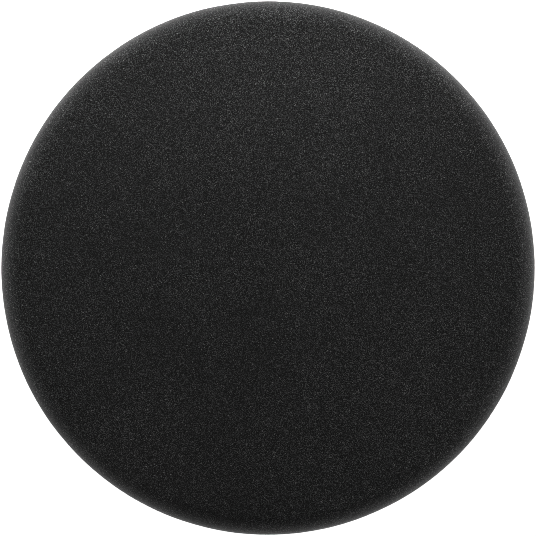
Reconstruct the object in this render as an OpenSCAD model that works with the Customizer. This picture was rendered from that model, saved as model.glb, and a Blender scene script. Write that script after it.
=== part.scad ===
// Foam polishing pad with a hook-and-loop backing.
// The pad lies on its loop side: z = 0 is the plane of the loop tips, +Z points
// to the polishing face, and the origin is the centre of the loop side.
// All lengths are in millimetres.

/* [Foam body] */
// Diameter of the foam at its widest line
foam_d = 150; // [75:1:230]
// Thickness of the foam, from the backing to the polishing face
foam_t = 25; // [16:0.5:50]
// Radius of the rounded rim around the polishing face
face_rim_r = 6.6; // [2:0.2:10]
// Radius of the small rounded edge around the back of the foam
back_edge_r = 1.5; // [0.5:0.1:3]
// Angle by which the side wall leans in towards the back, in degrees
wall_lean = 8; // [0:1:20]

/* [Adhesive film] */
// Thickness of the hot-melt film that bonds the fabric to the foam
adhesive_t = 0.3; // [0.1:0.05:1]
// Distance from the fabric's edge in to the film's edge
adhesive_inset = 0.5; // [0:0.1:3]

/* [Loop fabric] */
// Distance from the edge of the foam's flat back in to the fabric's edge
fabric_inset = 1.2; // [0:0.1:10]
// Thickness of the knitted ground cloth
cloth_t = 0.5; // [0.2:0.05:1.5]
// Height of the loop pile under the cloth
pile_h = 1.8; // [0.8:0.1:4]
// Distance from the cloth's edge in to the outermost loops
pile_inset = 0.3; // [0:0.1:2]

/* [Hidden] */
$fn = 180;

// Heights of the faces that the layers share
pile_z = 0;
cloth_z = pile_z + pile_h;
adhesive_z = cloth_z + cloth_t;
foam_z = adhesive_z + adhesive_t;
face_z = foam_z + foam_t;

// Rim circle: it touches the polishing face, and its outermost point is the widest line
rim_x = foam_d / 2 - face_rim_r;
rim_z = face_z - face_rim_r;

// Points of the section where the rim circle runs into the leaning wall, and where
// the back edge circle touches that wall and the flat back
wall_normal = [cos(wall_lean), -sin(wall_lean)];
wall_top = [rim_x, rim_z] + face_rim_r * wall_normal;
back_edge_z = foam_z + back_edge_r;
back_edge_x = wall_top[0]
    + ((back_edge_z - wall_top[1]) * sin(wall_lean) - back_edge_r) / cos(wall_lean);
wall_foot = [back_edge_x, back_edge_z] + back_edge_r * wall_normal;

// Radii of the round layers, each worked out from the one that it is bonded to
fabric_r = back_edge_x - fabric_inset;
adhesive_r = fabric_r - adhesive_inset;
pile_r = fabric_r - pile_inset;

// Half section of the foam: straight faces joined by two arcs
module foam_section() {
    polygon([
        [0, foam_z],
        [back_edge_x, foam_z],
        [back_edge_x, back_edge_z],
        wall_foot,
        wall_top,
        [rim_x, rim_z],
        [rim_x, face_z],
        [0, face_z]
    ]);
    translate([back_edge_x, back_edge_z])
        circle(r = back_edge_r);
    translate([rim_x, rim_z])
        circle(r = face_rim_r);
}

// A flat round layer
module layer(r, z, t) {
    translate([0, 0, z])
        cylinder(r = r, h = t);
}

// Open-cell foam disc with the polishing face on top
module foam_body() {
    color([0.14, 0.14, 0.14])
        rotate_extrude()
            foam_section();
}

// Hot-melt film between the foam and the fabric
module adhesive_film() {
    color([0.75, 0.72, 0.62])
        layer(adhesive_r, adhesive_z, adhesive_t);
}

// Knitted ground of the loop fabric
module ground_cloth() {
    color([0.10, 0.10, 0.11])
        layer(fabric_r, cloth_z, cloth_t);
}

// Envelope of the brushed loops that a hook plate grips
module loop_pile() {
    color([0.07, 0.07, 0.08])
        layer(pile_r, pile_z, pile_h);
}

foam_body();
adhesive_film();
ground_cloth();
loop_pile();
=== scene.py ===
"""Looks of the foam polishing pad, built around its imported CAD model.

The pad lies on its loops, with its polishing face up. Lengths are in metres.
"""

import math

import bpy
import numpy as np
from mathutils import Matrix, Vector, noise
from mathutils.geometry import delaunay_2d_cdt


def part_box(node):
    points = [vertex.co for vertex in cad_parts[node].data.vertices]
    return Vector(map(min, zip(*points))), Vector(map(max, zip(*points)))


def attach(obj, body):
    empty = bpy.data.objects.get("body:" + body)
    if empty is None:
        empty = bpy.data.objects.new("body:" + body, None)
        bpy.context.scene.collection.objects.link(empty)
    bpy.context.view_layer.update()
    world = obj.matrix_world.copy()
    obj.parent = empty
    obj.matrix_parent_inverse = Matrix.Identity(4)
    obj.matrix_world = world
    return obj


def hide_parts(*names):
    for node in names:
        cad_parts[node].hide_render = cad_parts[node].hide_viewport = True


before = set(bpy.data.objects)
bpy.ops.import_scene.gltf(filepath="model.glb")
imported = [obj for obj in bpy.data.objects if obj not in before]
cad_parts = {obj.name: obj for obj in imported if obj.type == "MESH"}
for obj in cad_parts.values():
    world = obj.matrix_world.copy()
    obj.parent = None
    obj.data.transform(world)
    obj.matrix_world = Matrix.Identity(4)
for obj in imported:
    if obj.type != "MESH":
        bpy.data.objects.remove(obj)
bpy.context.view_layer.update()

MM = 0.001
rng = np.random.default_rng(7)

# Sizes of the CAD nodes
FOAM_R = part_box("foam_body")[1].x
FOAM_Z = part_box("foam_body")[0].z
FACE_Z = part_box("foam_body")[1].z
FILM_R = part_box("adhesive_film")[1].x
FILM_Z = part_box("adhesive_film")[0].z
CLOTH_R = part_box("ground_cloth")[1].x
CLOTH_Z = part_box("ground_cloth")[0].z
PILE_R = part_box("loop_pile")[1].x

# Shape of the foam's section, as in the CAD model
FACE_RIM_R = 6.6 * MM
BACK_EDGE_R = 1.5 * MM
WALL_LEAN = math.radians(8)

# Foam mesh. It stops at FOAM_BACK_R on the hidden back, where one fan of faces closes it.
FOAM_BACK_R = 66 * MM
FOAM_POINTS = 92000
FOAM_RING_POINTS = 700
FOAM_JITTER = 0.1 * MM
# Unevenness of the ground foam: height and wavelength of each ripple, and a roughness point by point
FOAM_RIPPLES = ((0.10 * MM, 34 * MM), (0.05 * MM, 9 * MM), (0.015 * MM, 2.2 * MM))
FOAM_ROUGHNESS = 0.008 * MM

# Meshes of the film and the cloth. Their hidden upper faces are closed like the foam's back.
FILM_POINTS = 6000
CLOTH_POINTS = 45000
DISC_RING_POINTS = 420
DISC_JITTER = 0.03 * MM
DISC_TOP_WIDTH = 2 * MM
# How far their cut edges wander, and over what length
FILM_WANDER = 0.18 * MM
CLOTH_WANDER = 0.12 * MM
WANDER_LENGTH = 3 * MM

# Knit of the loop fabric: distance between its wales and between its courses, and its ribs
WALE = 1.05 * MM
COURSE = 0.95 * MM
RIB_HEIGHT = 0.05 * MM

# Number of guide bars that knit the loops
LOOP_BARS = 3
# Least and most of each loop's span, height and yarn radius, in mm
LOOP_SPAN = (0.55, 1.05)
LOOP_HEIGHT = (1.35, 1.78)
YARN_R = (0.055, 0.085)
# How the loops are rooted, scattered, turned, leaned and twisted
LOOP_ROOT_DEPTH = 0.05 * MM
LOOP_SCATTER = 0.16 * MM
LOOP_EDGE_GAP = 0.25 * MM
LOOP_TURN_SPREAD = 0.7
LOOP_LEAN = (0.12 * MM, 0.30 * MM)
LOOP_LEAN_SPREAD = 0.30 * MM
LOOP_TWIST = 0.18 * MM
LOOP_SEGMENTS = 5
LOOP_SIDES = 3

# Grain of the foam: the strut facets, their tone partly painted highlight, and the pores between them,
# painted dark as shade
FACET = 0.12 * MM
PORE = 0.20 * MM


# ---------------------------------------------------------------- geometry


def unit(vectors):
    """Vectors of length one."""
    return vectors / np.maximum(np.linalg.norm(vectors, axis=-1, keepdims=True), 1e-12)


def make_mesh(name, points, faces, smooth=True):
    """A new mesh object from points and faces."""
    mesh = bpy.data.meshes.new(name)
    mesh.from_pydata([tuple(p) for p in points], [], faces)
    mesh.polygons.foreach_set("use_smooth", [smooth] * len(mesh.polygons))
    mesh.update()
    piece = bpy.data.objects.new(name, mesh)
    bpy.context.scene.collection.objects.link(piece)
    return piece


def ripple(points, wavelength, seed):
    """Smooth noise from -1 to 1 at each point, with bumps about this far apart."""
    offset = Vector((seed * 3.7, seed * 1.3, seed * 2.1))
    return np.array([noise.noise(Vector(p) / wavelength + offset) for p in points])


def outline(*stretches):
    """One line through straights and arcs, as rows of radius, height and tilt of the normal.

    Each stretch is its first row, its last row and its arc's radius, or None if it is straight.
    """
    step = 0.05 * MM
    rows = []
    for (r0, z0, tilt0), (r1, z1, tilt1), radius in stretches:
        length = radius * abs(tilt1 - tilt0) if radius else math.hypot(r1 - r0, z1 - z0)
        for share in np.linspace(0, 1, max(2, int(length / step))):
            tilt = tilt0 + (tilt1 - tilt0) * share
            if radius:
                r = r0 + radius * (math.sin(tilt) - math.sin(tilt0))
                z = z0 + radius * (math.cos(tilt) - math.cos(tilt0))
            else:
                r = r0 + (r1 - r0) * share
                z = z0 + (z1 - z0) * share
            rows.append((r, z, tilt))
    return np.array(rows)


def foam_outline(back_r):
    """Half section of the foam, from the middle of its face to back_r on its back."""
    side = math.pi / 2 + WALL_LEAN
    rim_x = FOAM_R - FACE_RIM_R
    rim_z = FACE_Z - FACE_RIM_R
    wall_top = (
        rim_x + FACE_RIM_R * math.sin(side),
        rim_z + FACE_RIM_R * math.cos(side),
        side,
    )
    back_z = FOAM_Z + BACK_EDGE_R
    back_x = wall_top[0] + (
        (back_z - wall_top[1]) * math.sin(WALL_LEAN) - BACK_EDGE_R
    ) / math.cos(WALL_LEAN)
    wall_foot = (
        back_x + BACK_EDGE_R * math.sin(side),
        back_z + BACK_EDGE_R * math.cos(side),
        side,
    )
    back_edge = (back_x, FOAM_Z, math.pi)
    return outline(
        ((0, FACE_Z, 0), (rim_x, FACE_Z, 0), None),
        ((rim_x, FACE_Z, 0), wall_top, FACE_RIM_R),
        (wall_top, wall_foot, None),
        (wall_foot, back_edge, BACK_EDGE_R),
        (back_edge, (back_r, FOAM_Z, math.pi), None),
    )


def skin(line, count, rim_count, jitter):
    """An even triangle mesh over the surface that a line sweeps round Z, closed behind its last point.

    The points lie on a spiral that gives each the same area. They are joined flat,
    with the distance along the line as the radius, and then lifted onto the surface.
    """
    steps = np.hypot(*np.diff(line[:, :2], axis=0).T)
    along = np.concatenate([[0], np.cumsum(steps)])
    middles = (line[1:, 0] + line[:-1, 0]) / 2
    area = np.concatenate([[0], np.cumsum(middles * steps)])
    golden = math.pi * (3 - math.sqrt(5))
    index = np.arange(count)
    s = np.interp((index + 0.5) / count * area[-1], area, along)
    angle = index * golden
    x = s * np.cos(angle) + rng.normal(0, jitter, count)
    y = s * np.sin(angle) + rng.normal(0, jitter, count)
    inside = np.hypot(x, y) < along[-1] - 2 * jitter
    turn = np.linspace(0, 2 * math.pi, rim_count, endpoint=False)
    x = np.concatenate([x[inside], along[-1] * np.cos(turn)])
    y = np.concatenate([y[inside], along[-1] * np.sin(turn)])
    flat = [Vector((a, b)) for a, b in zip(x / MM, y / MM, strict=True)]
    joined, _, faces, *_ = delaunay_2d_cdt(flat, [], [], 0, 1e-9)
    x, y = np.array(joined).T * MM
    s, angle = np.hypot(x, y), np.arctan2(y, x)
    r, z, tilt = (np.interp(s, along, line[:, k]) for k in range(3))
    points = np.stack([r * np.cos(angle), r * np.sin(angle), z], 1)
    normals = np.stack(
        [np.sin(tilt) * np.cos(angle), np.sin(tilt) * np.sin(angle), np.cos(tilt)], 1
    )
    # The last ring closes on one point behind it
    edge = np.flatnonzero(s > along[-1] - 1e-6)
    edge = edge[np.argsort(angle[edge])]
    hub = len(points)
    points = np.vstack([points, [0, 0, line[-1, 1]]])
    normals = np.vstack([normals, [0, 0, math.cos(line[-1, 2])]])
    faces = [tuple(f) for f in faces]
    faces += [(hub, int(b), int(a)) for a, b in zip(edge, np.roll(edge, -1), strict=True)]
    flat = np.stack([np.append(x, 0), np.append(y, 0)], 1) / along[-1]
    return points, normals, faces, flat


def bake_map(piece, flat):
    """The flat layout as the piece's OFBake map, with the closing fan's faces laid round it."""
    fill = 0.97
    hub_out = 1.02
    corners = np.zeros(len(piece.data.loops), dtype=np.int32)
    piece.data.loops.foreach_get("vertex_index", corners)
    places = flat[corners]
    hub = np.flatnonzero(corners == len(flat) - 1)
    places[hub] = hub_out * (places[hub + 1] + places[hub + 2]) / 2
    layer = piece.data.uv_layers.new(name="OFBake")
    layer.data.foreach_set("uv", (0.5 + 0.5 * fill * places).ravel())


def make_foam():
    """Foam body: the CAD section with the slight unevenness of ground open-cell foam."""
    line = foam_outline(FOAM_BACK_R)
    points, normals, faces, flat = skin(line, FOAM_POINTS, FOAM_RING_POINTS, FOAM_JITTER)
    lift = np.zeros(len(points))
    for seed, (height, wavelength) in enumerate(FOAM_RIPPLES, 1):
        lift += height * ripple(points, wavelength, seed)
    lift += rng.normal(0, FOAM_ROUGHNESS, len(points))
    # The back stays flat, against the film
    lift[points[:, 2] < FOAM_Z + 0.01 * MM] = 0
    piece = make_mesh("foam", points + normals * lift[:, None], faces)
    bake_map(piece, flat)
    return piece


def make_disc(name, radius, low, high, count, wander, relief):
    """A thin disc whose lower face has relief and whose cut edge wanders in and out."""
    round_r = (high - low) / 2
    middle = (low + high) / 2
    line = outline(
        ((0, low, math.pi), (radius - round_r, low, math.pi), None),
        ((radius - round_r, low, math.pi), (radius - round_r, high, 0), round_r),
        ((radius - round_r, high, 0), (radius - DISC_TOP_WIDTH, high, 0), None),
    )
    points, _, faces, flat = skin(line, count, DISC_RING_POINTS, DISC_JITTER)
    # The line starts below, so the faces are turned over, each from the same first corner
    faces = [(f[0], f[2], f[1]) for f in faces]
    lower = points[:, 2] < middle
    points[lower, 2] += relief(points[lower])
    out = np.hypot(points[:, 0], points[:, 1]) > radius - 2 * round_r
    shift = wander * ripple(points[out] * (1, 1, 0), WANDER_LENGTH, 5)
    points[out, :2] *= 1 + (shift / radius)[:, None]
    piece = make_mesh(name, points, faces)
    bake_map(piece, flat)
    return piece


def knit_relief(points):
    """Ribs and stitches on the lower face of the ground cloth."""
    ribs = np.cos(2 * math.pi * points[:, 0] / WALE)
    stitches = np.cos(2 * math.pi * points[:, 1] / COURSE)
    return RIB_HEIGHT * ribs * (0.7 + 0.3 * stitches)


def no_relief(points):
    """A plain lower face."""
    return 0


def make_loops(bar):
    """The loops that one guide bar knits: every third course of brushed yarn arches."""
    rows = int(PILE_R / COURSE) + 1
    cols = int(PILE_R / WALE) + 1
    row, col = np.meshgrid(np.arange(-rows, rows + 1), np.arange(-cols, cols + 1))
    keep = (row % LOOP_BARS) == bar
    row, col = row[keep], col[keep]
    root = np.stack([col * WALE + (row % 2) * WALE / 2, row * COURSE], 1)
    root += rng.normal(0, LOOP_SCATTER, root.shape)
    root = root[np.hypot(*root.T) < PILE_R - LOOP_EDGE_GAP]
    n = len(root)
    # Each loop stands in its own upright plane and leans the way the pile was brushed
    heading = rng.normal(math.pi / 2, LOOP_TURN_SPREAD, n)
    span = rng.uniform(*LOOP_SPAN, n) * MM
    height = rng.uniform(*LOOP_HEIGHT, n) * MM
    lean = rng.normal(0, LOOP_LEAN_SPREAD, (n, 2)) + LOOP_LEAN
    twist = rng.normal(0, LOOP_TWIST, n)
    along = np.stack([np.cos(heading), np.sin(heading)], 1)
    across = np.stack([-along[:, 1], along[:, 0]], 1)
    path = np.zeros((n, LOOP_SEGMENTS + 1, 3))
    for k in range(LOOP_SEGMENTS + 1):
        t = k / LOOP_SEGMENTS
        rise = math.sin(math.pi * t) ** 0.75
        flat = root + along * (span * (t - 0.5))[:, None] + lean * rise
        flat += across * (twist * math.sin(2 * math.pi * t))[:, None]
        path[:, k, :2] = flat
        path[:, k, 2] = CLOTH_Z + LOOP_ROOT_DEPTH - (height + LOOP_ROOT_DEPTH) * rise
    yarn_r = rng.uniform(*YARN_R, n) * MM
    return make_mesh(f"loops_bar_{bar + 1}", *tubes(path, yarn_r, LOOP_SIDES))


def tubes(paths, radii, sides):
    """Closed tubes along many paths at once: points and faces."""
    n, rings, _ = paths.shape
    tangent = unit(np.gradient(paths, axis=1))
    askew = (0.31, 0.17, 0.94)
    level = unit(np.cross(tangent, askew))
    upright = np.cross(tangent, level)
    points = np.zeros((n, rings, sides, 3))
    for k in range(sides):
        turn = 2 * math.pi * k / sides
        ring = level * math.cos(turn) + upright * math.sin(turn)
        points[:, :, k] = paths + ring * radii[:, None, None]
    faces = []
    for i in range(n):
        first = i * rings * sides
        for j in range(rings - 1):
            a = first + j * sides
            for k in range(sides):
                b = (k + 1) % sides
                faces.append((a + k, a + b, a + sides + b, a + sides + k))
        faces.append(tuple(first + k for k in reversed(range(sides))))
        last = first + (rings - 1) * sides
        faces.append(tuple(last + k for k in range(sides)))
    return points.reshape(-1, 3), faces


# ---------------------------------------------------------------- materials


class Shader:
    """A material's node tree with one Principled shader, built by short calls."""

    def __init__(self, name, **sockets):
        self.material = bpy.data.materials.new(name)
        self.material.use_nodes = True
        self.tree = self.material.node_tree
        self.surface = self.tree.nodes["Principled BSDF"]
        self.place = self.add("ShaderNodeTexCoord").outputs["Object"]
        for socket, value in sockets.items():
            self.surface.inputs[socket.replace("_", " ")].default_value = value

    def add(self, kind, **settings):
        """A new node with its settings."""
        node = self.tree.nodes.new(kind)
        for name, value in settings.items():
            setattr(node, name, value)
        return node

    def put(self, socket, value):
        """Links or sets an input."""
        if isinstance(value, bpy.types.NodeSocket):
            self.tree.links.new(value, socket)
        else:
            socket.default_value = value

    def cells(self, size, feature, output):
        """A Voronoi pattern of cells about this size."""
        node = self.add("ShaderNodeTexVoronoi", feature=feature)
        self.put(node.inputs["Vector"], self.place)
        self.put(node.inputs["Scale"], 1 / size)
        return node.outputs[output]

    def random_tone(self, size):
        """A number from 0 to 1 for each cell of about this size."""
        split = self.add("ShaderNodeSeparateColor")
        self.put(split.inputs[0], self.cells(size, "F1", "Color"))
        return split.outputs[0]

    def cloud(self, size, detail=2.0):
        """Noise from 0 to 1 with blotches about this size."""
        node = self.add("ShaderNodeTexNoise")
        self.put(node.inputs["Vector"], self.place)
        self.put(node.inputs["Scale"], 1 / size)
        self.put(node.inputs["Detail"], detail)
        return node.outputs["Fac"]

    def remap(self, value, low, high, to_low, to_high):
        """A value from one range moved to another, and kept inside it."""
        node = self.add("ShaderNodeMapRange")
        for key, number in zip(
            ("Value", "From Min", "From Max", "To Min", "To Max"),
            (value, low, high, to_low, to_high),
            strict=True,
        ):
            self.put(node.inputs[key], number)
        return node.outputs["Result"]

    def maths(self, operation, a, b):
        """One sum on two values."""
        node = self.add("ShaderNodeMath", operation=operation)
        self.put(node.inputs[0], a)
        self.put(node.inputs[1], b)
        return node.outputs[0]

    def tint(self, value, dark, light):
        """A colour between dark and light."""
        node = self.add("ShaderNodeMix", data_type="RGBA")
        self.put(node.inputs["Factor"], value)
        self.put(node.inputs[6], (*dark, 1))
        self.put(node.inputs[7], (*light, 1))
        return node.outputs[2]

    def bump(self, height, distance):
        """Fine relief in the shading, this deep."""
        node = self.add("ShaderNodeBump")
        self.put(node.inputs["Height"], height)
        self.put(node.inputs["Distance"], distance)
        self.put(self.surface.inputs["Normal"], node.outputs["Normal"])

    def colour(self, value):
        """Links or sets the base colour."""
        self.put(self.surface.inputs["Base Color"], value)


def foam_material():
    """Black open-cell polyurethane: facets of random tone with painted highlights, deep pores with
    painted shade, and a few painted glints.
    """
    shader = Shader(
        "black_foam",
        Roughness=0.9,
        Specular_IOR_Level=0.03,
        Sheen_Weight=0.2,
        Sheen_Roughness=0.5,
    )
    # Facet tone: random grain, with the brightest facets painted highlights where struts would catch
    # the light
    facet_tone_and_highlight = shader.maths("POWER", shader.random_tone(FACET), 7.0)
    pick = shader.random_tone(PORE)
    # Deep pores painted dark: painted shade in the holes. The same value is the pores' depth for the
    # bump.
    pore_depth_and_shade = shader.remap(pick, 0.0, 0.08, 0.03, 0.7)
    # Painted glints: a few cells painted bright as highlights
    painted_glint = shader.remap(pick, 0.985, 1.0, 0.0, 0.85)
    blotch = shader.remap(shader.cloud(12 * MM), 0.3, 0.7, 0.93, 1.07)
    patch = shader.remap(shader.cloud(45 * MM), 0.3, 0.7, 0.82, 1.18)
    # The base colour's grain, with the painted highlights, painted glints and painted pore shade in it
    grain_with_painted_light = shader.maths("MULTIPLY", facet_tone_and_highlight, pore_depth_and_shade)
    grain_with_painted_light = shader.maths("ADD", grain_with_painted_light, painted_glint)
    grain_with_painted_light = shader.maths("MULTIPLY", grain_with_painted_light, blotch)
    grain_with_painted_light = shader.maths("MULTIPLY", grain_with_painted_light, patch)
    shader.colour(shader.tint(grain_with_painted_light, (0.0017, 0.0017, 0.0017), (0.152, 0.152, 0.152)))
    shader.bump(pore_depth_and_shade, 0.04 * MM)
    return shader.material


def loop_material():
    """Black polyamide loops, each yarn a little different."""
    shader = Shader(
        "loop_yarn",
        Roughness=0.6,
        Specular_IOR_Level=0.5,
        Sheen_Weight=0.4,
        Sheen_Roughness=0.4,
    )
    fibre = shader.cloud(0.25 * MM, 3.0)
    shader.colour(
        shader.tint(
            shader.remap(fibre, 0.3, 0.7, 0, 1), (0.012, 0.012, 0.013), (0.04, 0.04, 0.042)
        )
    )
    return shader.material


def cloth_material():
    """Black warp-knitted ground with fine stitches."""
    shader = Shader("ground_knit", Roughness=0.8, Sheen_Weight=0.3)
    stitch = shader.cells(0.3 * MM, "F1", "Distance")
    shader.colour(
        shader.tint(
            shader.remap(stitch, 0, 0.8, 1, 0), (0.008, 0.008, 0.009), (0.035, 0.035, 0.037)
        )
    )
    shader.bump(stitch, 0.08 * MM)
    return shader.material


def film_material():
    """Hot-melt film, slightly cloudy."""
    shader = Shader("hot_melt", Roughness=0.35)
    cloudy = shader.cloud(1.5 * MM, 3.0)
    shader.colour(
        shader.tint(
            shader.remap(cloudy, 0.3, 0.7, 0, 1), (0.20, 0.17, 0.11), (0.36, 0.32, 0.23)
        )
    )
    shader.bump(cloudy, 0.05 * MM)
    return shader.material


def floor_material():
    """Pale sweep, partly lit from within so that it stays white beside the black pad."""
    shader = Shader("floor", Roughness=0.8, Specular_IOR_Level=0.1)
    shader.colour((0.5, 0.5, 0.5, 1))
    shader.surface.inputs["Emission Color"].default_value = (1, 1, 1, 1)
    shader.surface.inputs["Emission Strength"].default_value = 0.52
    return shader.material


# ---------------------------------------------------------------- pieces


def dress(piece, material, slot, *nodes):
    """Gives a piece its material, and puts it in the place of its CAD nodes."""
    piece.data.materials.append(material)
    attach(piece, "root")
    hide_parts(*nodes)
    return piece


foam = dress(make_foam(), foam_material(), "foam", "foam_body")

film = make_disc("glue_film", FILM_R, FILM_Z, FOAM_Z, FILM_POINTS, FILM_WANDER, no_relief)
dress(film, film_material(), "adhesive", "adhesive_film")

cloth = make_disc(
    "backing_knit", CLOTH_R, CLOTH_Z, FILM_Z, CLOTH_POINTS, CLOTH_WANDER, knit_relief
)
dress(cloth, cloth_material(), "ground_cloth", "ground_cloth")

yarn = loop_material()
loops = [dress(make_loops(bar), yarn, "loop_pile", "loop_pile") for bar in range(LOOP_BARS)]


# ---------------------------------------------------------------- studio


def make_floor():
    """A square floor, just under the loop tips."""
    half = 3.0
    drop = 0.02 * MM
    corners = [(-half, -half, 0), (half, -half, 0), (half, half, 0), (-half, half, 0)]
    floor = make_mesh("floor", corners, [(0, 1, 2, 3)], smooth=False)
    floor.location.z = -drop
    floor.data.materials.append(floor_material())
    return floor


def light_floor(floor):
    """A broad lamp straight overhead, for the floor alone. The pad shades the floor only close by."""
    data = bpy.data.lights.new("overhead", "SUN")
    data.angle = math.radians(20)
    data.energy = 2.55
    lamp = bpy.data.objects.new("overhead", data)
    bpy.context.scene.collection.objects.link(lamp)
    lit = bpy.data.collections.new("lit_by_overhead")
    lit.objects.link(floor)
    lamp.light_linking.receiver_collection = lit


def make_light(name, place, size, energy):
    """A soft rectangular lamp aimed at the middle of the pad."""
    data = bpy.data.lights.new(name, "AREA")
    data.shape = "RECTANGLE"
    data.size, data.size_y = size
    data.energy = energy
    lamp = bpy.data.objects.new(name, data)
    lamp.location = place
    aim = Vector((0, 0, FACE_Z)) - Vector(place)
    lamp.rotation_mode = "QUATERNION"
    lamp.rotation_quaternion = aim.to_track_quat("-Z", "Y")
    lamp.visible_camera = False
    bpy.context.scene.collection.objects.link(lamp)


def make_world():
    """A backdrop that the camera sees white, but whose light comes from the horizon mostly."""
    world = bpy.data.worlds.new("studio")
    world.use_nodes = True
    tree = world.node_tree
    direction = tree.nodes.new("ShaderNodeTexCoord").outputs["Generated"]
    split = tree.nodes.new("ShaderNodeSeparateXYZ")
    fade = tree.nodes.new("ShaderNodeMapRange")
    seen = tree.nodes.new("ShaderNodeLightPath").outputs["Is Camera Ray"]
    strength = tree.nodes.new("ShaderNodeMath")
    strength.operation = "MAXIMUM"
    background = tree.nodes["Background"]
    tree.links.new(direction, split.inputs[0])
    tree.links.new(split.outputs["Z"], fade.inputs["Value"])
    tree.links.new(fade.outputs["Result"], strength.inputs[0])
    tree.links.new(seen, strength.inputs[1])
    tree.links.new(strength.outputs[0], background.inputs["Strength"])
    for socket, value in (
        ("From Min", 0.08),
        ("From Max", 0.28),
        ("To Min", 0.5),
        ("To Max", 0.12),
    ):
        fade.inputs[socket].default_value = value
    background.inputs["Color"].default_value = (1, 1, 1, 1)
    bpy.context.scene.world = world


def make_camera():
    """Straight above the pad with a long lens, so that its widest line almost fills the frame."""
    data = bpy.data.cameras.new("camera")
    data.lens = 90
    data.sensor_width = 36
    widest_z = FACE_Z - FACE_RIM_R
    margin = 1.0068
    distance = FOAM_R * margin * data.lens / (data.sensor_width / 2)
    camera = bpy.data.objects.new("camera", data)
    camera.location = (0, 0, widest_z + distance)
    bpy.context.scene.collection.objects.link(camera)
    bpy.context.scene.camera = camera


light_floor(make_floor())
make_world()
make_light("key", (-0.01, 0.19, 0.085), (0.40, 0.08), 1.04)
make_light("right", (0.5, -0.08, 0.08), (0.3, 0.10), 1.93)
make_light("left", (-0.5, -0.08, 0.08), (0.3, 0.10), 1.64)
make_light("front", (0.1, -0.5, 0.08), (0.4, 0.10), 0.3)
make_camera()
bpy.context.scene.view_settings.view_transform = "Standard"
bpy.context.scene.cycles.filter_width = 0.85
bpy.context.scene.cycles.use_denoising = True
bpy.context.scene.cycles.denoising_prefilter = "NONE"
